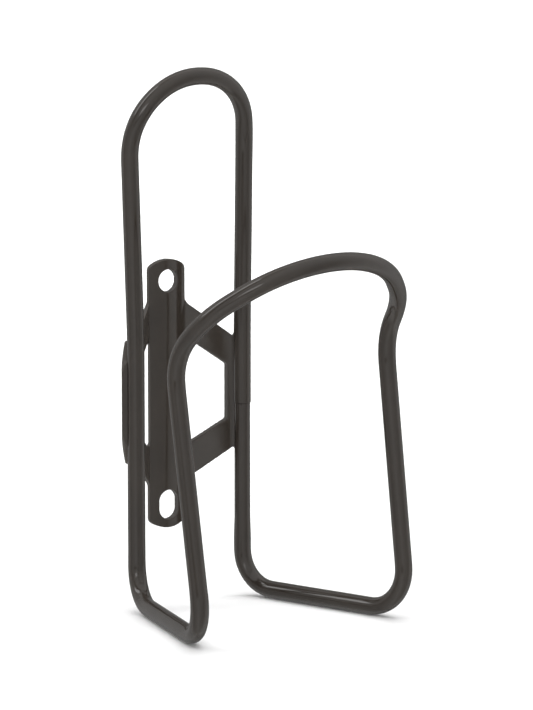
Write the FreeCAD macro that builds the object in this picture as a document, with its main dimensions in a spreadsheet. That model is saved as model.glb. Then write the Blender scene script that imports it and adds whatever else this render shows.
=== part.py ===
"""Bicycle water bottle cage: one bent, hollow tube held by one pressed bracket.

Millimetres, +Z up along the bottle. The origin is midway between the two bolt holes, on the
bracket's rear mounting face. The bottle stands on the -Y side. The cage is the same on both
sides of the plane X = 0, apart from the joint in its right rail.
"""

import math
import os

import FreeCAD
import Part
import Sketcher
from FreeCAD import Vector

doc = FreeCAD.newDocument("bottle_cage")

# ---------------------------------------------------------------- driving dimensions
SIZES = {
    # tube stock
    "tube_outer_dia": 4.9,
    "tube_bore_dia": 3.3,
    "neck_outer_dia": 4.5,
    "neck_low": 36.0,
    "neck_taper": 5.0,
    "seam_drop": 3.0,
    "seam_gap": 0.2,
    "pin_dia": 3.2,
    "pin_length": 26.0,
    # bends of the tube's right half: where its straight runs would meet, and each bend's radius
    "rail_half": 18.1,
    "rail_reach": 12.4,
    "crown_half": 15.3,
    "crown_reach": 17.2,
    "crown_height": 90.6,
    "crown_bend": 18.4,
    "lean_half": 19.4,
    "lean_reach": 11.6,
    "lean_height": 72.6,
    "lean_bend": 21.5,
    "spread_height": 18.5,
    "spread_bend": 150.0,
    "base_drop": 55.7,
    "heel_bend": 10.4,
    "toe_half": 34.2,
    "toe_reach": 68.3,
    "toe_bend": 10.8,
    "kink_half": 35.4,
    "kink_reach": 56.1,
    "kink_height": 19.7,
    "kink_bend": 15.3,
    "flare_half": 32.7,
    "flare_reach": 66.7,
    "flare_height": 31.4,
    "flare_bend": 30.5,
    "brow_reach": 95.6,
    "brow_height": 58.3,
    "brow_bend": 32.7,
    # bracket plate
    "plate_width": 12.2,
    "plate_thick": 2.2,
    "plate_crown": 22.0,
    "plate_top": 38.1,
    "plate_low": 38.6,
    "plate_end_radius": 9.6,
    "plate_corner": 1.8,
    "bolt_spacing": 64.0,
    "hole_dia": 6.4,
    "slot_length": 8.4,
    # bracket arms and the hooks that wrap the rails
    "arm_thick": 1.5,
    "arm_angle": 39.0,
    "arm_offset": 1.75,
    "arm_bend": 2.5,
    "arm_root_height": 25.6,
    "arm_slope": 42.3,
    "arm_fillet": 3.0,
    "window_root_half": 5.8,
    "window_root_height": 16.15,
    "window_tip_height": 7.8,
    "window_tip_half": 15.5,
    "window_corner": 1.2,
    "hook_clearance": 0.04,
    "hook_relief": 0.5,
    "hook_end_angle": 19.0,
    "arm_tip_height": 15.9,
    "ear_half": 17.2,
    "ear_height": 17.4,
    "ear_end_half": 19.3,
    "ear_slope": 74.0,
    "ear_round": 0.8,
}
sheet = doc.addObject("Spreadsheet::Sheet", "sizes")
for row, (alias, value) in enumerate(SIZES.items(), start=1):
    sheet.set(f"A{row}", alias)
    sheet.set(f"B{row}", str(value))
    sheet.setAlias(f"B{row}", alias)
doc.recompute()


def size(alias):
    """One cell of the sheet, in millimetres or degrees."""
    return float(sheet.get(alias))


def bind(target, **expressions):
    """Tie an object's properties to cells of the sheet."""
    for name, expression in expressions.items():
        target.setExpression(name.replace("__", "."), expression)


# ---------------------------------------------------------------- the tube's centreline
def bend_corners():
    """Corners of the right half with their bend radii, from the crown down, round and up."""
    rail_y = -size("rail_reach")
    return [
        (Vector(size("crown_half"), -size("crown_reach"), size("crown_height")), size("crown_bend")),
        (Vector(size("lean_half"), -size("lean_reach"), size("lean_height")), size("lean_bend")),
        (Vector(size("rail_half"), rail_y, size("spread_height")), size("spread_bend")),
        (Vector(size("rail_half"), rail_y, -size("base_drop")), size("heel_bend")),
        (Vector(size("toe_half"), -size("toe_reach"), -size("base_drop")), size("toe_bend")),
        (Vector(size("kink_half"), -size("kink_reach"), size("kink_height")), size("kink_bend")),
        (Vector(size("flare_half"), -size("flare_reach"), size("flare_height")), size("flare_bend")),
        (Vector(0, -size("brow_reach"), size("brow_height")), size("brow_bend")),
    ]


def bend_arc(before, corner, after, radius):
    """The three points of the arc that rounds a corner."""
    back = (before - corner).normalize()
    ahead = (after - corner).normalize()
    half_angle = back.getAngle(ahead) / 2
    tangent = radius / math.tan(half_angle)
    inward = (back + ahead).normalize()
    middle = corner + inward * (radius / math.sin(half_angle) - radius)
    return corner + back * tangent, middle, corner + ahead * tangent


def run_edges(start, corners, finish):
    """Straight runs and bends from start, round the corners, to finish."""
    points = [start] + [point for point, _ in corners] + [finish]
    edges = []
    here = start
    for index, (corner, radius) in enumerate(corners, start=1):
        entry, middle, leave = bend_arc(points[index - 1], corner, points[index + 1], radius)
        assert (entry - here).dot(corner - here) > 0, f"the bend at {corner} overlaps its neighbour"
        edges.append(Part.makeLine(here, entry))
        edges.append(Part.Arc(entry, middle, leave).toShape())
        here = leave
    edges.append(Part.makeLine(here, finish))
    return edges


def path(name, start_height, finish_height):
    """A wire from the right rail down, once round the cage, and back down to the right rail."""
    right = bend_corners()
    left = [(Vector(-corner.x, corner.y, corner.z), radius) for corner, radius in right[:-1]]
    # the rail below its spread bend comes first; the loop closes through that bend
    loop = right[3:] + list(reversed(left)) + right[:3]
    start = Vector(size("rail_half"), -size("rail_reach"), start_height)
    finish = Vector(size("rail_half"), -size("rail_reach"), finish_height)
    wire = doc.addObject("Part::Feature", name)
    wire.Shape = Part.Wire(run_edges(start, loop, finish))
    return wire


def ring(name, diameter_cell, height_expression):
    """A circle across the right rail, where a sweep starts."""
    circle = doc.addObject("Part::Circle", name)
    bind(
        circle,
        Radius=f"sizes.{diameter_cell} / 2",
        Placement__Base__x="sizes.rail_half",
        Placement__Base__y="-sizes.rail_reach",
        Placement__Base__z=height_expression,
    )
    return circle


def sweep(name, section, spine):
    """A solid of one section carried along a wire."""
    solid = doc.addObject("Part::Sweep", name)
    solid.Sections = [section]
    solid.Spine = (spine, [f"Edge{number + 1}" for number in range(len(spine.Shape.Edges))])
    solid.Solid = True
    solid.Frenet = False
    return solid


def make_tube():
    """One bent tube whose necked lower end butts against its other end in the right rail."""
    seam = -size("seam_drop")
    half_gap = size("seam_gap") / 2
    neck_end = -size("neck_low") - size("neck_taper")
    body_path = path("body_path", neck_end, seam + half_gap)
    bore_path = path("bore_path", seam - half_gap, seam + half_gap)
    body_ring = ring("body_ring", "tube_outer_dia", "-sizes.neck_low - sizes.neck_taper")
    bore_ring = ring("bore_ring", "tube_bore_dia", "-sizes.seam_drop - sizes.seam_gap / 2")
    doc.recompute()

    neck = doc.addObject("Part::Cylinder", "neck")
    bind(
        neck,
        Radius="sizes.neck_outer_dia / 2",
        Height="sizes.neck_low - sizes.seam_drop - sizes.seam_gap / 2",
        Placement__Base__x="sizes.rail_half",
        Placement__Base__y="-sizes.rail_reach",
        Placement__Base__z="-sizes.neck_low",
    )
    taper = doc.addObject("Part::Cone", "neck_taper")
    bind(
        taper,
        Radius1="sizes.tube_outer_dia / 2",
        Radius2="sizes.neck_outer_dia / 2",
        Height="sizes.neck_taper",
        Placement__Base__x="sizes.rail_half",
        Placement__Base__y="-sizes.rail_reach",
        Placement__Base__z="-sizes.neck_low - sizes.neck_taper",
    )
    outside = doc.addObject("Part::MultiFuse", "tube_outside")
    outside.Shapes = [sweep("tube_body", body_ring, body_path), taper, neck]
    tube = doc.addObject("Part::Cut", "frame_tube")
    tube.Base = outside
    tube.Tool = sweep("tube_bore", bore_ring, bore_path)
    tube.Label = "frame_tube"
    return tube


def make_pin():
    """The pin inside the right rail that lines up the tube's two ends."""
    pin = doc.addObject("Part::Cylinder", "joining_pin")
    bind(
        pin,
        Radius="sizes.pin_dia / 2",
        Height="sizes.pin_length",
        Placement__Base__x="sizes.rail_half",
        Placement__Base__y="-sizes.rail_reach",
        Placement__Base__z="-sizes.seam_drop - sizes.pin_length / 2",
    )
    pin.Label = "joining_pin"
    return pin


# ---------------------------------------------------------------- bracket sketches
AXES, V_AXIS = -1, -2
FIRST, LAST, CENTRE = 1, 2, 3


def new_sketch(body, name, role):
    """A sketch on one of the body's own origin planes."""
    sketch = body.newObject("Sketcher::SketchObject", name)
    plane = next(item for item in body.Origin.OriginFeatures if item.Role == role)
    sketch.AttachmentSupport = [(plane, "")]
    sketch.MapMode = "FlatFace"
    return sketch


def drive(sketch, kind, *where_and_value, by):
    """Add one dimension to a sketch and let the sheet drive it."""
    number = sketch.addConstraint(Sketcher.Constraint(kind, *where_and_value))
    sketch.setExpression(f"Constraints[{number}]", by)


def pin_point(sketch, edge, end, across, up):
    """Hold a point of the sketch at a place given by two expressions on the sheet."""
    place = sketch.getPoint(edge, end)
    drive(sketch, "DistanceX", AXES, FIRST, edge, end, place.x, by=across)
    drive(sketch, "DistanceY", AXES, FIRST, edge, end, place.y, by=up)


def worth(expression):
    """The number that an expression on the sheet's cells comes to."""
    return float(sheet.evalExpression(expression.replace("sizes.", "")))


def line(sketch, here, there):
    """A straight edge of the sketch."""
    return sketch.addGeometry(Part.LineSegment(here, there), False)


def trace(sketch, corners, closed=False):
    """Straight edges from corner to corner. A corner is two expressions on the sheet, across
    and up, and the cell of the radius that rounds it, or None where it stays sharp."""
    places = [Vector(worth(across), worth(up), 0) for across, up, _ in corners]
    count = len(places)
    ends = []
    for index, (place, (_, _, radius_cell)) in enumerate(zip(places, corners)):
        if radius_cell is None:
            ends.append((place, place, None))
            continue
        following = places[(index + 1) % count]
        entry, middle, leave = bend_arc(places[index - 1], place, following, size(radius_cell))
        curve = sketch.addGeometry(Part.Arc(entry, middle, leave), False)
        ends.append((entry, leave, curve))
    spans = count if closed else count - 1
    lines = [line(sketch, ends[span][1], ends[(span + 1) % count][0]) for span in range(spans)]
    for index, (entry, leave, curve) in enumerate(ends):
        across, up, radius_cell = corners[index]
        before = lines[index - 1] if closed or index else None
        after = lines[index] if index < spans else None
        if curve is None:
            if before is not None and after is not None:
                sketch.addConstraint(Sketcher.Constraint("Coincident", before, LAST, after, FIRST))
            held = (before, LAST) if after is None else (after, FIRST)
            pin_point(sketch, *held, across, up)
            continue
        sharp = sketch.addGeometry(Part.Point(places[index]), True)
        pin_point(sketch, sharp, FIRST, across, up)
        for edge, end, place in ((before, LAST, entry), (after, FIRST, leave)):
            near = (sketch.getPoint(curve, FIRST) - place).Length < 1e-6
            tip = FIRST if near else LAST
            sketch.addConstraint(Sketcher.Constraint("Tangent", edge, end, curve, tip))
            sketch.addConstraint(Sketcher.Constraint("PointOnObject", sharp, FIRST, edge))
        drive(sketch, "Radius", curve, size(radius_cell), by=f"sizes.{radius_cell}")
    return lines


def turned(angle, length):
    """A vector of a given length at an angle in the sketch, in degrees."""
    return Vector(math.cos(math.radians(angle)), math.sin(math.radians(angle)), 0) * length


def arc(sketch, centre, radius, first_angle, last_angle):
    """An arc drawn anticlockwise in the sketch between two angles, in degrees."""
    circle = Part.Circle(centre, Vector(0, 0, 1), radius)
    curve = Part.ArcOfCircle(circle, math.radians(first_angle), math.radians(last_angle))
    return sketch.addGeometry(curve, False)


def draw_section(sketch):
    """The right half of the bracket cut across: plate, sloping arm and hook round the rail."""
    thick, plate, half_width = size("arm_thick"), size("plate_thick"), size("plate_width") / 2
    slope, offset, relief = -size("arm_angle"), size("arm_offset"), size("hook_relief")
    along, across = turned(slope, 1), turned(slope + 90, 1)
    rail = Vector(size("rail_half"), -size("rail_reach"), 0)
    inner = size("tube_outer_dia") / 2 + size("hook_clearance")
    outer = inner + thick
    hook_end = size("hook_end_angle")
    # behind the arm's tip the sheet turns back round this point, then wraps the rail
    rise = offset + thick / 2 + relief
    turn = rail + across * rise - along * math.sqrt((outer + relief) ** 2 - rise**2)
    wrap = math.degrees(math.atan2(turn.y - rail.y, turn.x - rail.x))
    # the arm's back leaves the plate's flat back through a bend
    knee = rail + across * (offset + thick / 2)
    knee = knee - along * (knee.y / along.y)
    run = size("arm_bend") * math.tan(math.radians(-slope / 2))
    # the arm's front meets the side of the plate
    root = rail + across * (offset - thick / 2)
    root = root + along * ((half_width - root.x) / along.x)

    axis = line(sketch, Vector(0, -plate, 0), Vector(0, 0, 0))
    back = line(sketch, Vector(0, 0, 0), knee - Vector(run, 0, 0))
    bend = arc(sketch, knee - Vector(run, size("arm_bend"), 0), size("arm_bend"), slope + 90, 90)
    arm_back = line(sketch, knee + along * run, turn - across * relief)
    back_turn = arc(sketch, turn, relief, slope - 90, wrap - 180)
    hook_outside = arc(sketch, rail, outer, hook_end, wrap)
    hook_tip = line(sketch, rail + turned(hook_end, outer), rail + turned(hook_end, inner))
    hook_inside = arc(sketch, rail, inner, hook_end, wrap)
    front_turn = arc(sketch, turn, relief + thick, slope - 90, wrap - 180)
    arm_front = line(sketch, turn - across * (relief + thick), root)
    # the plate's front is crowned: one arc about a point behind it
    crown = size("plate_crown")
    brow = math.degrees(math.asin(half_width / crown)) - 90
    crown_middle = Vector(0, crown - plate, 0)
    side = line(sketch, root, crown_middle + turned(brow, crown))
    front = arc(sketch, crown_middle, crown, -90, brow)

    meeting = [
        ("Coincident", axis, LAST, back, FIRST),
        ("Tangent", back, LAST, bend, LAST),
        ("Tangent", bend, FIRST, arm_back, FIRST),
        ("Tangent", arm_back, LAST, back_turn, FIRST),
        ("Tangent", back_turn, LAST, hook_outside, LAST),
        ("Coincident", hook_outside, FIRST, hook_tip, FIRST),
        ("Coincident", hook_tip, LAST, hook_inside, FIRST),
        ("Tangent", hook_inside, LAST, front_turn, LAST),
        ("Tangent", front_turn, FIRST, arm_front, FIRST),
        ("Coincident", arm_front, LAST, side, FIRST),
        ("Coincident", side, LAST, front, LAST),
        ("Coincident", front, FIRST, axis, FIRST),
        ("Coincident", axis, LAST, AXES, FIRST),
        ("Coincident", hook_inside, CENTRE, hook_outside, CENTRE),
        ("Coincident", front_turn, CENTRE, back_turn, CENTRE),
        ("PointOnObject", hook_outside, CENTRE, hook_tip),
        ("Horizontal", back),
        ("Vertical", axis),
        ("Vertical", side),
        ("PointOnObject", front, CENTRE, V_AXIS),
        ("Parallel", arm_back, arm_front),
    ]
    for constraint in meeting:
        sketch.addConstraint(Sketcher.Constraint(*constraint))

    pin_point(sketch, hook_outside, CENTRE, "sizes.rail_half", "-sizes.rail_reach")
    drive(sketch, "DistanceX", AXES, FIRST, front, LAST, half_width, by="sizes.plate_width / 2")
    drive(sketch, "DistanceY", AXES, FIRST, front, FIRST, -plate, by="-sizes.plate_thick")
    drive(sketch, "Radius", front, crown, by="sizes.plate_crown")
    bore = "sizes.tube_outer_dia / 2 + sizes.hook_clearance"
    drive(sketch, "Radius", hook_inside, inner, by=bore)
    drive(sketch, "Radius", hook_outside, outer, by=f"{bore} + sizes.arm_thick")
    drive(sketch, "Radius", back_turn, relief, by="sizes.hook_relief")
    drive(sketch, "Radius", bend, size("arm_bend"), by="sizes.arm_bend")
    drive(
        sketch, "Distance", hook_outside, CENTRE, arm_back, offset + thick / 2,
        by="sizes.arm_offset + sizes.arm_thick / 2",
    )
    drive(sketch, "Angle", arm_back, math.radians(slope), by="-sizes.arm_angle * 1 deg")
    drive(
        sketch, "DistanceX", hook_outside, CENTRE, hook_outside, FIRST,
        outer * math.cos(math.radians(hook_end)),
        by=f"({bore} + sizes.arm_thick) * cos(sizes.hook_end_angle)",
    )


def draw_plate_end(sketch, start_side, finish_side, height, turn):
    """The arched end between the plate's two sides, with a small arc at each corner, drawn
    anticlockwise from the side that starts at it to the side that finishes at it."""
    radius, corner = size("plate_end_radius"), size("plate_corner")
    inset = size("plate_width") / 2 - corner
    lean = math.degrees(math.acos(inset / (radius - corner)))
    middle = Vector(0, height - math.copysign(radius, height), 0)
    near, far = turned(turn + lean, radius - corner), turned(turn + 180 - lean, radius - corner)
    first = arc(sketch, middle + near, corner, turn, turn + lean)
    end = arc(sketch, middle, radius, turn + lean, turn + 180 - lean)
    last = arc(sketch, middle + far, corner, turn + 180 - lean, turn + 180)
    for here, here_end, there, there_end in (
        (start_side, FIRST, first, FIRST),
        (first, LAST, end, FIRST),
        (end, LAST, last, FIRST),
        (last, LAST, finish_side, LAST),
    ):
        tangent = Sketcher.Constraint("Tangent", here, here_end, there, there_end)
        sketch.addConstraint(tangent)
    drive(sketch, "Radius", end, radius, by="sizes.plate_end_radius")
    for curve in (first, last):
        drive(sketch, "Radius", curve, corner, by="sizes.plate_corner")


def draw_outline(sketch):
    """Everything outside the bracket's front view: a wide frame round its outline."""
    half, root = "sizes.plate_width / 2", "sizes.arm_root_height"
    tip = "(sizes.rail_half + sizes.tube_outer_dia)"
    low, ear, high = "sizes.arm_tip_height", "sizes.ear_half", "sizes.ear_height"
    ear_end = "sizes.ear_end_half"
    meeting = f"({half} + ({root} - {low}) / tan(sizes.arm_slope))"
    ear_top = f"({ear} + {high} - {low})"
    tip_up = f"({high} - ({tip} - {ear_end}) * tan(sizes.ear_slope))"
    # the plate's sides stop where each corner's small arc leads into the end's large one
    inset, slack = f"({half} - sizes.plate_corner)", "(sizes.plate_end_radius - sizes.plate_corner)"
    rise = f"sqrt({slack} ^ 2 - {inset} ^ 2)"
    top = f"(sizes.plate_top - sizes.plate_end_radius + {rise})"
    bottom = f"-(sizes.plate_low - sizes.plate_end_radius + {rise})"
    # down the right side from the plate's top: the arm, then the taller ear that wraps the rail
    upper_right = [
        (half, top, None),
        (half, root, "arm_fillet"),
        (meeting, low, None),
        (ear, low, None),
        (ear_top, high, None),
        (ear_end, high, "ear_round"),
        (tip, tip_up, None),
    ]
    lower_right = [(across, f"-{up}", cell) for across, up, cell in reversed(upper_right[1:])]
    lower_right.append((half, bottom, None))
    left = [(f"-{across}", up, cell) for across, up, cell in reversed(upper_right + lower_right)]
    right, left = trace(sketch, upper_right + lower_right), trace(sketch, left)
    draw_plate_end(sketch, right[0], left[-1], size("plate_top"), 0)
    draw_plate_end(sketch, left[0], right[-1], -size("plate_low"), 180)
    clear = "2 * sizes.plate_low"
    frame = [(f"-{clear}", f"-{clear}"), (clear, f"-{clear}"), (clear, clear), (f"-{clear}", clear)]
    trace(sketch, [(across, up, None) for across, up in frame], closed=True)


def draw_windows(sketch):
    """The opening between each pair of arms."""
    high, low = "sizes.window_root_height", "sizes.window_tip_height"
    for side in ("", "-"):
        root, tip = f"{side}sizes.window_root_half", f"{side}sizes.window_tip_half"
        corners = [(root, f"-{high}"), (tip, f"-{low}"), (tip, low), (root, high)]
        rounded = [(across, up, "window_corner") for across, up in corners]
        trace(sketch, rounded, closed=True)


def draw_holes(sketch):
    """The round upper bolt hole and the lower one, a slot along Z."""
    radius, rise = size("hole_dia") / 2, size("bolt_spacing") / 2
    circle = Part.Circle(Vector(0, rise, 0), Vector(0, 0, 1), radius)
    hole = sketch.addGeometry(circle, False)
    drive(sketch, "Radius", hole, radius, by="sizes.hole_dia / 2")
    sketch.addConstraint(Sketcher.Constraint("PointOnObject", hole, CENTRE, V_AXIS))
    drive(sketch, "DistanceY", AXES, FIRST, hole, CENTRE, rise, by="sizes.bolt_spacing / 2")
    reach = (size("slot_length") - size("hole_dia")) / 2
    upper = arc(sketch, Vector(0, -rise + reach, 0), radius, 0, 180)
    lower = arc(sketch, Vector(0, -rise - reach, 0), radius, 180, 360)
    left = line(sketch, Vector(-radius, -rise + reach, 0), Vector(-radius, -rise - reach, 0))
    right = line(sketch, Vector(radius, -rise - reach, 0), Vector(radius, -rise + reach, 0))
    edges = (upper, left, lower, right)
    for edge, following in zip(edges, edges[1:] + edges[:1]):
        sketch.addConstraint(Sketcher.Constraint("Tangent", edge, LAST, following, FIRST))
    drive(sketch, "Radius", upper, radius, by="sizes.hole_dia / 2")
    for end, expression in (
        (upper, "-sizes.bolt_spacing / 2 + (sizes.slot_length - sizes.hole_dia) / 2"),
        (lower, "-sizes.bolt_spacing / 2 - (sizes.slot_length - sizes.hole_dia) / 2"),
    ):
        sketch.addConstraint(Sketcher.Constraint("PointOnObject", end, CENTRE, V_AXIS))
        drive(sketch, "DistanceY", AXES, FIRST, end, CENTRE, worth(expression), by=expression)


def pad_both_ways(body, sketch, name, length):
    """Thicken a sketch equally to both sides of its plane."""
    pad = body.newObject("PartDesign::Pad", name)
    pad.Profile = sketch
    pad.Midplane = True
    bind(pad, Length=length)
    return pad


def cut_through(body, sketch, name):
    """Cut a sketch right through the body, to both sides of its plane."""
    before = body.Shape.Volume
    pocket = body.newObject("PartDesign::Pocket", name)
    pocket.Profile = sketch
    pocket.Type = "ThroughAll"
    pocket.Midplane = True
    doc.recompute()
    assert body.Shape.Volume < before, f"{name} cuts nothing"
    return pocket


def make_bracket():
    """The pressed bracket: plate, four arms and a hook round each rail, in one piece."""
    body = doc.addObject("PartDesign::Body", "mounting_bracket")
    body.Label = "mounting_bracket"
    section = new_sketch(body, "section", "XY_Plane")
    draw_section(section)
    doc.recompute()
    pad = pad_both_ways(body, section, "right_half", "3 * sizes.plate_low")
    doc.recompute()
    mirrored = body.newObject("PartDesign::Mirrored", "both_halves")
    mirrored.Originals = [pad]
    plane = next(item for item in body.Origin.OriginFeatures if item.Role == "YZ_Plane")
    mirrored.MirrorPlane = (plane, [""])
    body.Tip = mirrored
    doc.recompute()

    outline = new_sketch(body, "outline", "XZ_Plane")
    draw_outline(outline)
    cut_through(body, outline, "outline_cut")
    windows = new_sketch(body, "windows", "XZ_Plane")
    draw_windows(windows)
    cut_through(body, windows, "window_cut")
    holes = new_sketch(body, "bolt_holes", "XZ_Plane")
    draw_holes(holes)
    cut_through(body, holes, "bolt_hole_cut")
    return body


parts = [make_tube(), make_pin(), make_bracket()]
doc.recompute()


# ---------------------------------------------------------------- checks and files
for item in doc.Objects:
    assert not {"Invalid", "Error"} & set(item.State), f"{item.Name} failed: {item.State}"
os.makedirs("parts", exist_ok=True)
for item in parts:
    assert not item.Shape.isNull() and item.Shape.isValid(), f"{item.Label} is not valid"
    item.Shape.exportStep(f"parts/{item.Label}.step")
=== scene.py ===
"""How the bottle cage looks: one gloss black tube, held by one gloss black bracket.

Metres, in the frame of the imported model: +Z up along the bottle, which stands on the -Y side.
The tube and the bracket are rebuilt here from the frame's own surfaces, as smooth painted
metal, and the pin inside the tube is kept as it is.
"""

import math

import bpy
import numpy as np
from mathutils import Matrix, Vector, noise


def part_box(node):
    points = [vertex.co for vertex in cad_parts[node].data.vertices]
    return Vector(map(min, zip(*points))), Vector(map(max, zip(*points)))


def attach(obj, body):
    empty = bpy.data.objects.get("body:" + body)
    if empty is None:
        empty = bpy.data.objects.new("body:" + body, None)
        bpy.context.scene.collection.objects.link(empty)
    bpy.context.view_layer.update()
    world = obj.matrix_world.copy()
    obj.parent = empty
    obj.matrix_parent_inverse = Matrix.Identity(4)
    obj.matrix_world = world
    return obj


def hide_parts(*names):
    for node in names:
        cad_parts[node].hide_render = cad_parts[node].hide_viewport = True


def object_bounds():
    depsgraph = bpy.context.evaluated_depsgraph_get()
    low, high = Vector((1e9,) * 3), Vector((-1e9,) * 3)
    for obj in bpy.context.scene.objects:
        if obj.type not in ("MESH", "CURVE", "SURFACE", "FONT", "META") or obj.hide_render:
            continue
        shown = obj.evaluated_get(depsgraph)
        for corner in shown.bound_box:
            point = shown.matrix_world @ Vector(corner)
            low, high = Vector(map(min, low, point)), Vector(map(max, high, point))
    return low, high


MM = 0.001

# the tube
RING_STEP = 0.75 * MM
RING_SIDES = 48
# how far round a station the walk looks for the tube's mesh
REACH = 5 * MM
# the walk may stop at the joint only after so many stations, and this close to it
LEAST_STATIONS = 10
NEAR_ENOUGH = 1.5 * RING_STEP
# the share of the span from which points count as the tube's outside, as the circle settles
RIM_SHARES = (0.85, 0.97, 0.985)
# how gently bends run into straights, and the lip that rounds the tube's two cut ends
EASING = 1.1 * MM
LIP = 0.14 * MM
LIP_RINGS = 5
# the share of the joint that paint leaves open, and the bore's clearance round the pin
JOINT_LEFT_OPEN = 0.2
PIN_CLEARANCE = 0.05 * MM
# how much a bend squeezes the tube, and the slight unevenness of its paint
FLATTENING = 0.12
WAVINESS = 0.012 * MM
WAVE_LENGTH = 9 * MM

# the bracket
VOXEL = 0.16 * MM
# each pass pulls every point towards its neighbours and pushes it back a little further
ROUNDING_PASSES = 14
PULL, PUSH = 0.55, -0.57
# the stretch of rail inside the hooks, the metal next to it that is pressed, and how far
HOOK_SPAN = 12 * MM
PRESS_DEPTH = 0.9 * MM
PRESS = 0.75 * MM

# paint, from its deepest black to where it lies thin over an edge
PAINT_DARK = (0.028, 0.0230, 0.0190)
PAINT_WARM = (0.034, 0.0278, 0.0226)
PAINT_THIN = (0.048, 0.040, 0.034)
# painted light: how much lighter the bracket's paint is made than the tube's, though both are one
# black paint
BRACKET_PAINTED_LIGHT = 1.28
# where on an edge the paint thins out, and how much of it is lost there
EDGE_SPAN = (0.52, 0.60)
EDGE_WEAR = 0.6
# features to the metre of the paint's colour, its gloss and its orange peel
DRIFT_SCALE, GLOSS_SCALE, PEEL_SCALE = 60, 300, 650
PAINT_ROUGHNESS = (0.07, 0.13)
PEEL_DEPTH = 0.04 * MM
PEEL_STRENGTH = 0.12

# the pin: how close together the lathe left its rings, how deep, and the metal's colours
RING_SCALE = 900
RING_DEPTH = 0.01 * MM
RING_STRENGTH = 0.2
RING_WAVER = 0.6
PIN_TINT_SCALE = 800
PIN_ROUGHNESS = (0.28, 0.42)
PIN_DULL = (0.66, 0.66, 0.67)
PIN_BRIGHT = (0.78, 0.78, 0.79)

# the part of a noise pattern's range that a ramp stretches
NOISE_SPAN = (0.3, 0.7)

# the studio
FLOOR_GAP = 0.02 * MM
WALL_LEVEL = 0.70
# overhead the room reaches this level, from this height on a sphere of radius one
ZENITH_LEVEL = 1.0
ZENITH_HEIGHT = 0.9
# the share of the room's light that is left behind the cage, and over which turn it falls to it
BEHIND_LEVEL = 0.42
BEHIND_SPAN = (0.25, 0.90)
# gaps round the walls: how many, where they start, how deep
WALL_GAPS = ((3, 0.52, 0.28), (8, 1.0, 0.10))
# a dark gap overhead, beside the strip light: its sides, and its edges across Y
GAP_DIRECTION = (-0.70, 0.06, 0.71)
GAP_SPAN = (0.72, 0.80)
GAP_EDGE = (0.05, 0.10)
# a dark patch beside the camera, under a small light: the bracket mirrors both
PATCH_DIRECTION = (-0.777, -0.629, -0.030)
PATCH_SPAN = (0.95, 0.98)
PATCH_EDGE = (0.042, 0.07)
PATCH_DEPTH = 0.75

# the floor runs from its front edge to where it starts to sweep up, in a quarter circle
STAGE_HALF_WIDTH = 4.0
STAGE_FRONT = -2.0
SWEEP_START = 1.5
SWEEP_RADIUS = 1.2
SWEEP_STEPS = 16
STAGE_TOP = 4.0
FLOOR_DULL = (0.90, 0.90, 0.90)
FLOOR_PALE = (0.93, 0.93, 0.93)
MOTTLE_SCALE = 12
FLOOR_ROUGHNESS = 0.7
FLOOR_SHINE = 0.2

# soft lights: place, what it looks at, width, height, watts, and whether glossy paint mirrors it
LIGHTS = {
    "overhead": ((0.1, 0.1, 1.6), (0, 0, 0), 1.8, 1.8, 12, False),
    "backdrop_wash": ((0.9, 0.5, 1.6), (1.4, 2.0, 0.3), 1.6, 1.0, 30, False),
    "strip": ((-0.72, 0.40, 0.88), (0, 0, 0), 0.26, 0.9, 2.4, True),
    "front": ((-0.77, -0.70, 0.33), (0, 0, 0.03), 0.36, 0.22, 0.6, True),
}

# the camera: how far round and up it stands, and the lens that fills the frame
CAMERA_AZIMUTH = math.radians(-35.79)
CAMERA_ELEVATION = math.radians(8.65)
CAMERA_DISTANCE = 1.087
CAMERA_TARGET = Vector((10.54, -34.62, 13.93)) * MM
CAMERA_BEARING = CAMERA_AZIMUTH - math.pi / 2
CAMERA_BACK = Vector(
    (
        math.sin(CAMERA_AZIMUTH) * math.cos(CAMERA_ELEVATION),
        -math.cos(CAMERA_AZIMUTH) * math.cos(CAMERA_ELEVATION),
        math.sin(CAMERA_ELEVATION),
    )
)
FOCAL_LENGTH = 199.1
SENSOR = 36.0
NEAREST, FARTHEST = 0.05, 20.0


# ---------------------------------------------------------------- meshes
def node_arrays(node):
    """A CAD node's points, and its edges as pairs of point numbers."""
    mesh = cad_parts[node].data
    points = np.empty(len(mesh.vertices) * 3)
    mesh.vertices.foreach_get("co", points)
    edges = np.empty(len(mesh.edges) * 2, int)
    mesh.edges.foreach_get("vertices", edges)
    return points.reshape(-1, 3), edges.reshape(-1, 2)


def mesh_object(name, points, faces):
    """A smooth-shaded mesh object, linked to the scene."""
    mesh = bpy.data.meshes.new(name)
    mesh.from_pydata(points.tolist(), [], faces)
    mesh.shade_smooth()
    piece = bpy.data.objects.new(name, mesh)
    bpy.context.scene.collection.objects.link(piece)
    return piece


def unit(vectors):
    """Vectors scaled to length one."""
    return vectors / np.linalg.norm(vectors, axis=-1, keepdims=True)


# ---------------------------------------------------------------- the tube's centreline
def across(ahead):
    """Two directions square to one another and to a third."""
    side = unit(np.cross(ahead, np.eye(3)[np.argmin(np.abs(ahead))]))
    return side, np.cross(ahead, side)


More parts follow.
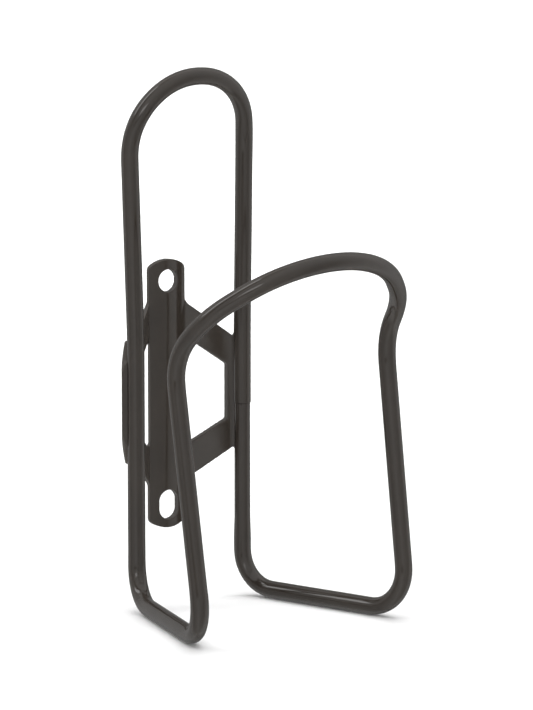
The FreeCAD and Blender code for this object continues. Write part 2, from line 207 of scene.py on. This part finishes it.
def section_circle(points, edges, here, ahead):
    """Centre and radius of the tube's outside where a plane through a point cuts its mesh."""
    height = (points - here) @ ahead
    low, high = height[edges[:, 0]], height[edges[:, 1]]
    cut = edges[(low < 0) != (high < 0)]
    share = height[cut[:, 0]] / (height[cut[:, 0]] - height[cut[:, 1]])
    crossings = points[cut[:, 0]] + share[:, None] * (points[cut[:, 1]] - points[cut[:, 0]])
    crossings = crossings[np.linalg.norm(crossings - here, axis=1) < REACH]
    right, up = across(ahead)
    flat = np.stack(((crossings - here) @ right, (crossings - here) @ up), axis=1)
    middle = (flat.min(0) + flat.max(0)) / 2
    for keep in RIM_SHARES:
        span = np.linalg.norm(flat - middle, axis=1)
        rim = flat[span > keep * span.max()]
        system = np.column_stack((2 * rim, np.ones(len(rim))))
        answer = np.linalg.lstsq(system, (rim**2).sum(1), rcond=None)[0]
        middle = answer[:2]
    radius = math.sqrt(answer[2] + middle @ middle)
    return here + right * middle[0] + up * middle[1], radius


def walk_tube():
    """Centres and outside radii along the tube, from its lower end round to its upper end."""
    points, edges = node_arrays("frame_tube")
    low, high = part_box("joining_pin")
    seam = np.array((low + high) / 2)
    heights = points[np.linalg.norm(points - seam, axis=1) < REACH, 2]
    lower_end = np.array((seam[0], seam[1], heights[heights < seam[2]].max()))
    upper_end = np.array((seam[0], seam[1], heights[heights > seam[2]].min()))
    ahead = np.array((0.0, 0.0, -1.0))
    here = lower_end + ahead * RING_STEP
    centres, radii = [lower_end], []
    while len(centres) < LEAST_STATIONS or np.linalg.norm(upper_end - centres[-1]) > NEAR_ENOUGH:
        centre, radius = section_circle(points, edges, here, ahead)
        ahead = unit(centre - centres[-1])
        centres.append(centre)
        radii.append(radius)
        here = centre + ahead * RING_STEP
    centres.append(upper_end)
    # paint nearly closes the joint between the two ends
    centres[0] = seam + (lower_end - seam) * JOINT_LEFT_OPEN
    centres[-1] = seam + (upper_end - seam) * JOINT_LEFT_OPEN
    return np.array(centres), np.array([radii[0], *radii, radii[-1]])


def averaged(values, spread):
    """Values along the tube, each averaged with its neighbours by a bell curve."""
    reach = math.ceil(3 * spread)
    weights = np.exp(-0.5 * (np.arange(-reach, reach + 1) / spread) ** 2)
    weights /= weights.sum()
    before = 2 * values[0] - values[reach:0:-1]
    after = 2 * values[-1] - values[-2 : -reach - 2 : -1]
    padded = np.concatenate((before, values, after))
    return sum(weight * padded[at : at + len(values)] for at, weight in enumerate(weights))


def carried_sides(ahead):
    """A direction square to the tube at each station, carried along without twisting."""
    side = across(ahead[0])[0]
    sides = []
    for direction in ahead:
        side = unit(side - direction * (side @ direction))
        sides.append(side)
    return np.array(sides)


# ---------------------------------------------------------------- the tube
def rounded_lip(end, inward, radius, into_wall):
    """Rings round a tube's cut edge, from its end face to its side."""
    turn = np.linspace(math.pi / 2, 0, LIP_RINGS)
    return end + inward * LIP * (1 - np.sin(turn)), radius + into_wall * LIP * (1 - np.cos(turn))


def ring_table(along, radii, bore):
    """Where each ring sits along the tube and its radius: outside, end face, bore, end face."""
    first, last = along[0], along[-1]
    inner = (along > first + 2 * LIP) & (along < last - 2 * LIP)
    start_out = rounded_lip(first, 1, radii[0], -1)
    finish_out = rounded_lip(last, -1, radii[-1], -1)
    start_in = rounded_lip(first, 1, bore, 1)
    finish_in = rounded_lip(last, -1, bore, 1)
    places = [
        start_out[0], along[inner], finish_out[0][::-1],
        finish_in[0], along[inner][::-2], start_in[0][::-1],
    ]
    sizes = [
        start_out[1], radii[inner], finish_out[1][::-1],
        finish_in[1], np.full(len(along[inner][::-2]), bore), start_in[1][::-1],
    ]
    return np.concatenate(places), np.concatenate(sizes)


def build_tube(centres, radii):
    """The bent tube as one closed all-quad mesh, with its neck, joint and eased bends."""
    centres = averaged(centres, EASING / RING_STEP)
    radii = averaged(radii, EASING / RING_STEP)
    steps = np.linalg.norm(np.diff(centres, axis=0), axis=1)
    along = np.concatenate(([0.0], np.cumsum(steps)))
    ahead = unit(np.gradient(centres, along, axis=0))
    bend = averaged(np.gradient(ahead, along, axis=0), EASING / RING_STEP)
    sides = carried_sides(ahead)
    low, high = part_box("joining_pin")
    bore = (high.x - low.x) / 2 + PIN_CLEARANCE

    places, sizes = ring_table(along, radii, bore)

    def at_rings(values):
        return np.stack([np.interp(places, along, values[:, axis]) for axis in range(3)], axis=1)

    middles, side = at_rings(centres), unit(at_rings(sides))
    other = np.cross(unit(at_rings(ahead)), side)
    curve = at_rings(bend)
    turns = np.arange(RING_SIDES) * 2 * math.pi / RING_SIDES
    out = np.cos(turns)[None, :, None] * side[:, None, :]
    out = out + np.sin(turns)[None, :, None] * other[:, None, :]
    # a bent tube is squeezed a little towards the inside of its bend
    tightness = np.linalg.norm(curve, axis=1)
    inwards = curve / np.maximum(tightness, 1e-9)[:, None]
    inside = np.einsum("rsk,rk->rs", out, inwards)
    squeeze = FLATTENING * (tightness * sizes)[:, None] * (2 * inside**2 - 1)
    points = middles[:, None, :] + out * (sizes[:, None] * (1 - squeeze))[:, :, None]
    points = points.reshape(-1, 3)
    wave = np.array([noise.noise(Vector(point) / WAVE_LENGTH) for point in points])
    points = points + out.reshape(-1, 3) * (wave * WAVINESS)[:, None]

    rings = len(places)
    faces = []
    for ring in range(rings):
        following = (ring + 1) % rings
        for spoke in range(RING_SIDES):
            beside = (spoke + 1) % RING_SIDES
            faces.append(
                (
                    ring * RING_SIDES + spoke,
                    ring * RING_SIDES + beside,
                    following * RING_SIDES + beside,
                    following * RING_SIDES + spoke,
                )
            )
    tube = mesh_object("painted_tube", points, faces)
    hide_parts("frame_tube")
    return tube


# ---------------------------------------------------------------- the bracket
def remeshed(node, voxel):
    """A node's solid as an even mesh of small quads."""
    copy = bpy.data.objects.new(node + "_copy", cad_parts[node].data.copy())
    bpy.context.scene.collection.objects.link(copy)
    weld = copy.modifiers.new("weld", "WELD")
    weld.merge_threshold = voxel / 100
    remesh = copy.modifiers.new("remesh", "REMESH")
    remesh.mode = "VOXEL"
    remesh.voxel_size = voxel
    bpy.context.view_layer.update()
    mesh = bpy.data.meshes.new_from_object(copy.evaluated_get(bpy.context.evaluated_depsgraph_get()))
    bpy.data.objects.remove(copy)
    return mesh


def rounded(points, edges, passes):
    """Points of a mesh with its sharp edges rounded off, and its thickness kept."""
    here, there = edges.T
    count = len(points)
    neighbours = np.bincount(edges.ravel(), minlength=count)[:, None]
    for pull in (PULL, PUSH) * passes:
        total = np.stack(
            [
                np.bincount(here, points[there, axis], count)
                + np.bincount(there, points[here, axis], count)
                for axis in range(3)
            ],
            axis=1,
        )
        points = points + pull * (total / neighbours - points)
    return points


def crimped(points, centres, radii):
    """Points of the bracket with the hooks' inner faces pressed on to the rails."""
    rail = centres[(np.abs(centres[:, 2]) < HOOK_SPAN) & (centres[:, 0] > 0)]
    rail = rail[rail[:, 1] > rail[:, 1].max() - MM].mean(0)
    tube_radius = radii.max()
    for side in (1, -1):
        axis = np.array((side * rail[0], rail[1]))
        arm = points[:, :2] - axis
        span = np.linalg.norm(arm, axis=1)
        near = span < tube_radius + PRESS_DEPTH
        share = np.clip((tube_radius + PRESS_DEPTH - span[near]) / PRESS_DEPTH, 0, 1)
        pressed = span[near] - PRESS * share**2 * (3 - 2 * share)
        points[near, :2] = axis + arm[near] * (pressed / span[near])[:, None]
    return points


def build_bracket(centres, radii):
    """The pressed bracket with softened, paint-filled edges."""
    mesh = remeshed("mounting_bracket", VOXEL)
    points = np.empty(len(mesh.vertices) * 3)
    mesh.vertices.foreach_get("co", points)
    edges = np.empty(len(mesh.edges) * 2, int)
    mesh.edges.foreach_get("vertices", edges)
    points = rounded(points.reshape(-1, 3), edges.reshape(-1, 2), ROUNDING_PASSES)
    points = crimped(points, centres, radii)
    mesh.vertices.foreach_set("co", points.ravel())
    mesh.update()
    mesh.materials.clear()
    mesh.shade_smooth()
    bracket = bpy.data.objects.new("painted_bracket", mesh)
    bpy.context.scene.collection.objects.link(bracket)
    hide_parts("mounting_bracket")
    return bracket


# ---------------------------------------------------------------- materials
def new_material(name):
    """A node material, its tree and its main shader."""
    material = bpy.data.materials.new(name)
    material.use_nodes = True
    tree = material.node_tree
    return material, tree, tree.nodes["Principled BSDF"]


def add_node(tree, kind, inputs=None, **settings):
    """A node with its settings and the plain values of some of its inputs."""
    node = tree.nodes.new(kind)
    for name, value in settings.items():
        setattr(node, name, value)
    for name, value in (inputs or {}).items():
        node.inputs[name].default_value = value
    return node


def noise_at(tree, where, scale, detail=2.0, roughness=0.5):
    """A noise pattern of so many features to the metre."""
    pattern = add_node(
        tree, "ShaderNodeTexNoise", {"Scale": scale, "Detail": detail, "Roughness": roughness}
    )
    tree.links.new(where, pattern.inputs["Vector"])
    return pattern.outputs["Fac"]


def ramp(tree, value, low, high, dark, light):
    """A value stretched from low..high on to dark..light, and held at both ends."""
    node = add_node(
        tree,
        "ShaderNodeMapRange",
        {"From Min": low, "From Max": high, "To Min": dark, "To Max": light},
        clamp=True,
    )
    tree.links.new(value, node.inputs["Value"])
    return node.outputs["Result"]


def mixed_colour(tree, share, first, second):
    """One colour turning into another; each is a colour or an output."""
    node = add_node(tree, "ShaderNodeMix", data_type="RGBA")
    tree.links.new(share, node.inputs["Factor"])
    for name, colour in (("A", first), ("B", second)):
        socket = [item for item in node.inputs if item.name == name and item.type == "RGBA"][0]
        if isinstance(colour, bpy.types.NodeSocket):
            tree.links.new(colour, socket)
        else:
            socket.default_value = (*colour, 1)
    return [item for item in node.outputs if item.type == "RGBA"][0]


def black_paint(name, painted_light_factor=1.0):
    """Gloss black paint: orange peel, uneven gloss and thin paint on sharp edges; a factor above one
    lightens all its colours as painted light.
    """
    material, tree, shader = new_material(name)
    # painted light: every colour of the paint is scaled by the factor, which lightens the bracket's
    # black
    dark, warm, thin = (
        tuple(painted_light_factor * part for part in colour) for colour in (PAINT_DARK, PAINT_WARM, PAINT_THIN)
    )
    link = tree.links.new
    where = add_node(tree, "ShaderNodeTexCoord").outputs["Object"]

    drift = ramp(tree, noise_at(tree, where, DRIFT_SCALE, 3), *NOISE_SPAN, 0, 1)
    colour = mixed_colour(tree, drift, dark, warm)
    pointed = add_node(tree, "ShaderNodeNewGeometry").outputs["Pointiness"]
    edge = ramp(tree, pointed, *EDGE_SPAN, 0, EDGE_WEAR)
    colour = mixed_colour(tree, edge, colour, thin)
    link(colour, shader.inputs["Base Color"])

    gloss = ramp(tree, noise_at(tree, where, GLOSS_SCALE, 3), *NOISE_SPAN, *PAINT_ROUGHNESS)
    link(gloss, shader.inputs["Roughness"])

    peel = add_node(tree, "ShaderNodeBump", {"Strength": PEEL_STRENGTH, "Distance": PEEL_DEPTH})
    link(noise_at(tree, where, PEEL_SCALE, 1), peel.inputs["Height"])
    link(peel.outputs["Normal"], shader.inputs["Normal"])
    return material


def turned_aluminium():
    """Bare turned aluminium for the pin: fine rings round its axis."""
    material, tree, shader = new_material("turned_aluminium")
    link = tree.links.new
    where = add_node(tree, "ShaderNodeTexCoord").outputs["Object"]
    shader.inputs["Metallic"].default_value = 1.0
    turning = {"Scale": RING_SCALE, "Distortion": RING_WAVER}
    rings = add_node(tree, "ShaderNodeTexWave", turning, bands_direction="Z")
    link(where, rings.inputs["Vector"])
    link(ramp(tree, rings.outputs["Fac"], 0, 1, *PIN_ROUGHNESS), shader.inputs["Roughness"])
    tint = ramp(tree, noise_at(tree, where, PIN_TINT_SCALE, 4), *NOISE_SPAN, 0, 1)
    link(mixed_colour(tree, tint, PIN_DULL, PIN_BRIGHT), shader.inputs["Base Color"])
    bump = add_node(tree, "ShaderNodeBump", {"Strength": RING_STRENGTH, "Distance": RING_DEPTH})
    link(rings.outputs["Fac"], bump.inputs["Height"])
    link(bump.outputs["Normal"], shader.inputs["Normal"])
    return material


def paint_over(piece, material):
    """Give a piece one material."""
    piece.data.materials.clear()
    piece.data.materials.append(material)


# ---------------------------------------------------------------- stage, light and camera
def build_stage():
    """A pale floor under the cage that sweeps up into a backdrop far behind it."""
    low, high = cad_box
    floor_z = low[2] - FLOOR_GAP
    profile = [(STAGE_FRONT, 0.0), (SWEEP_START, 0.0)]
    for step in range(1, SWEEP_STEPS + 1):
        angle = step * math.pi / (2 * SWEEP_STEPS)
        y = SWEEP_START + SWEEP_RADIUS * math.sin(angle)
        profile.append((y, SWEEP_RADIUS - SWEEP_RADIUS * math.cos(angle)))
    profile.append((SWEEP_START + SWEEP_RADIUS, STAGE_TOP))
    points, faces = [], []
    for index, (y, z) in enumerate(profile):
        points += [(side * STAGE_HALF_WIDTH, y, floor_z + z) for side in (-1, 1)]
        if index:
            first = 2 * index - 2
            faces.append((first, first + 1, first + 3, first + 2))
    stage = mesh_object("pale_stage", np.array(points), faces)
    material, tree, shader = new_material("pale_floor")
    where = add_node(tree, "ShaderNodeTexCoord").outputs["Object"]
    mottle = ramp(tree, noise_at(tree, where, MOTTLE_SCALE, 4), *NOISE_SPAN, 0, 1)
    tree.links.new(mixed_colour(tree, mottle, FLOOR_DULL, FLOOR_PALE), shader.inputs["Base Color"])
    shader.inputs["Roughness"].default_value = FLOOR_ROUGHNESS
    shader.inputs["Specular IOR Level"].default_value = FLOOR_SHINE
    # for glossy rays the floor glows with painted light at the walls' level, instead of showing its
    # lit colour
    glow_like_walls_in_reflections(tree, shader)
    stage.data.materials.append(material)


def maths(tree, operation, *values):
    """The output of one sum on numbers and outputs."""
    node = add_node(tree, "ShaderNodeMath", operation=operation)
    for socket, value in zip(node.inputs, values):
        if isinstance(value, bpy.types.NodeSocket):
            tree.links.new(value, socket)
        else:
            socket.default_value = value
    return node.outputs[0]


def split_axes(tree, vector):
    """The three parts of a vector output."""
    node = add_node(tree, "ShaderNodeSeparateXYZ")
    tree.links.new(vector, node.inputs[0])
    return node.outputs


def ray_direction(tree):
    """The direction in which a ray leaves the cage for the room."""
    incoming = add_node(tree, "ShaderNodeNewGeometry").outputs["Incoming"]
    turned = add_node(tree, "ShaderNodeVectorMath", {"Scale": -1.0}, operation="SCALE")
    tree.links.new(incoming, turned.inputs[0])
    return turned.outputs["Vector"]


def facing(tree, direction):
    """How nearly a ray leaves the cage along a direction: 1 where it does exactly."""
    toward = add_node(tree, "ShaderNodeVectorMath", operation="DOT_PRODUCT")
    tree.links.new(ray_direction(tree), toward.inputs[0])
    toward.inputs[1].default_value = direction
    return toward.outputs["Value"]


def studio_walls(tree):
    """How bright the room is round about: pale, with a few darker gaps between its panels that
    draw faint long streaks on the upright tubes, one dark patch beside the camera, and less
    light behind the cage, so that the paint's rims stay dark."""
    x, y, z = split_axes(tree, ray_direction(tree))
    turn = maths(tree, "SUBTRACT", maths(tree, "ARCTAN2", y, x), CAMERA_BEARING)
    level = WALL_LEVEL
    for count, shift, depth in WALL_GAPS:
        angle = maths(tree, "MULTIPLY_ADD", turn, count, shift)
        level = maths(tree, "MULTIPLY_ADD", maths(tree, "COSINE", angle), depth * WALL_LEVEL, level)
    rise = maths(tree, "ABSOLUTE", maths(tree, "SUBTRACT", z, PATCH_DIRECTION[2]))
    inside = ramp(tree, facing(tree, PATCH_DIRECTION), *PATCH_SPAN, 0, PATCH_DEPTH)
    patch = maths(tree, "MULTIPLY", inside, ramp(tree, rise, *PATCH_EDGE, 1, 0))
    level = maths(tree, "MULTIPLY", level, maths(tree, "SUBTRACT", 1.0, patch))
    return maths(tree, "MULTIPLY", level, behind_shade(tree))


def behind_shade(tree):
    """A factor that falls to BEHIND_LEVEL straight behind the cage."""
    return ramp(tree, facing(tree, -CAMERA_BACK), *BEHIND_SPAN, 1.0, BEHIND_LEVEL)


def glow_like_walls_in_reflections(tree, shader):
    """Let a floor glow like the room's walls where glossy paint mirrors it: for glossy rays it is an
    emission, painted light, instead of its lit colour.
    """
    rays = add_node(tree, "ShaderNodeLightPath")
    reflected_glow = add_node(tree, "ShaderNodeEmission")
    tree.links.new(studio_walls(tree), reflected_glow.inputs["Color"])
    blend = add_node(tree, "ShaderNodeMixShader")
    output = next(node for node in tree.nodes if node.type == "OUTPUT_MATERIAL")
    tree.links.new(rays.outputs["Is Glossy Ray"], blend.inputs["Fac"])
    tree.links.new(shader.outputs["BSDF"], blend.inputs[1])
    tree.links.new(reflected_glow.outputs["Emission"], blend.inputs[2])
    tree.links.new(blend.outputs["Shader"], output.inputs["Surface"])


def build_world():
    """Pale surroundings with one dark gap overhead; the camera itself sees plain white."""
    world = bpy.data.worlds.new("studio")
    bpy.context.scene.world = world
    world.use_nodes = True
    tree = world.node_tree
    _, y, z = split_axes(tree, ray_direction(tree))
    climb = ramp(tree, z, 0.0, ZENITH_HEIGHT, 0, 1)
    overhead = maths(tree, "MULTIPLY", climb, behind_shade(tree))
    overhead = maths(tree, "MULTIPLY", overhead, ZENITH_LEVEL)
    level = maths(tree, "MULTIPLY", studio_walls(tree), maths(tree, "SUBTRACT", 1.0, climb))
    level = maths(tree, "ADD", level, overhead)
    side = ramp(tree, facing(tree, GAP_DIRECTION), *GAP_SPAN, 0, 1)
    off_line = maths(tree, "ABSOLUTE", maths(tree, "SUBTRACT", y, GAP_DIRECTION[1]))
    gap = maths(tree, "MULTIPLY", side, ramp(tree, off_line, *GAP_EDGE, 1, 0))
    level = maths(tree, "MULTIPLY", level, maths(tree, "SUBTRACT", 1.0, gap))
    rays = add_node(tree, "ShaderNodeLightPath")
    level = maths(tree, "MAXIMUM", level, rays.outputs["Is Camera Ray"])
    tree.links.new(level, tree.nodes["Background"].inputs["Color"])


def area_light(name, place, aim, width, height, watts, mirrored):
    """A soft rectangular light that looks at a point, seen in glossy paint or not."""
    lamp = bpy.data.lights.new(name, "AREA")
    lamp.shape = "RECTANGLE"
    lamp.size, lamp.size_y, lamp.energy = width, height, watts
    light = bpy.data.objects.new(name, lamp)
    light.location = place
    light.visible_glossy = mirrored
    light.rotation_euler = (Vector(aim) - Vector(place)).to_track_quat("-Z", "Y").to_euler()
    bpy.context.scene.collection.objects.link(light)


def build_camera():
    """The camera that sees the cage as the photograph does."""
    data = bpy.data.cameras.new("camera")
    data.sensor_width = data.sensor_height = SENSOR
    data.sensor_fit = "AUTO"
    data.lens = FOCAL_LENGTH
    data.clip_start, data.clip_end = NEAREST, FARTHEST
    camera = bpy.data.objects.new("camera", data)
    camera.location = CAMERA_TARGET + CAMERA_BACK * CAMERA_DISTANCE
    camera.rotation_euler = (-CAMERA_BACK).to_track_quat("-Z", "Y").to_euler()
    bpy.context.scene.collection.objects.link(camera)
    bpy.context.scene.camera = camera


# ---------------------------------------------------------------- the scene
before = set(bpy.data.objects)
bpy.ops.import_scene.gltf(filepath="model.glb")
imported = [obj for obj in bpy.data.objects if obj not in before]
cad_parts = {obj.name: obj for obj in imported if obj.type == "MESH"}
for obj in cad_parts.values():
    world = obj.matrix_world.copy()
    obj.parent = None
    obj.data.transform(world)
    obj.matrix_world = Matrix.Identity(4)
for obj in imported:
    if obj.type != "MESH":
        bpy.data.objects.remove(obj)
cad_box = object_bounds()

walked = walk_tube()
tube = build_tube(*walked)
bracket = build_bracket(*walked)
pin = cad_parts["joining_pin"]
for piece in (tube, bracket):
    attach(piece, "root")
paint_over(tube, black_paint("tube_paint_black"))
# the bracket's paint is made lighter than the tube's: painted light on its faces
paint_over(bracket, black_paint("bracket_black_with_painted_light", BRACKET_PAINTED_LIGHT))
paint_over(pin, turned_aluminium())

build_stage()
build_world()
build_camera()
for light_name, settings in LIGHTS.items():
    area_light(light_name, *settings)
bpy.context.scene.view_settings.view_transform = "Standard"
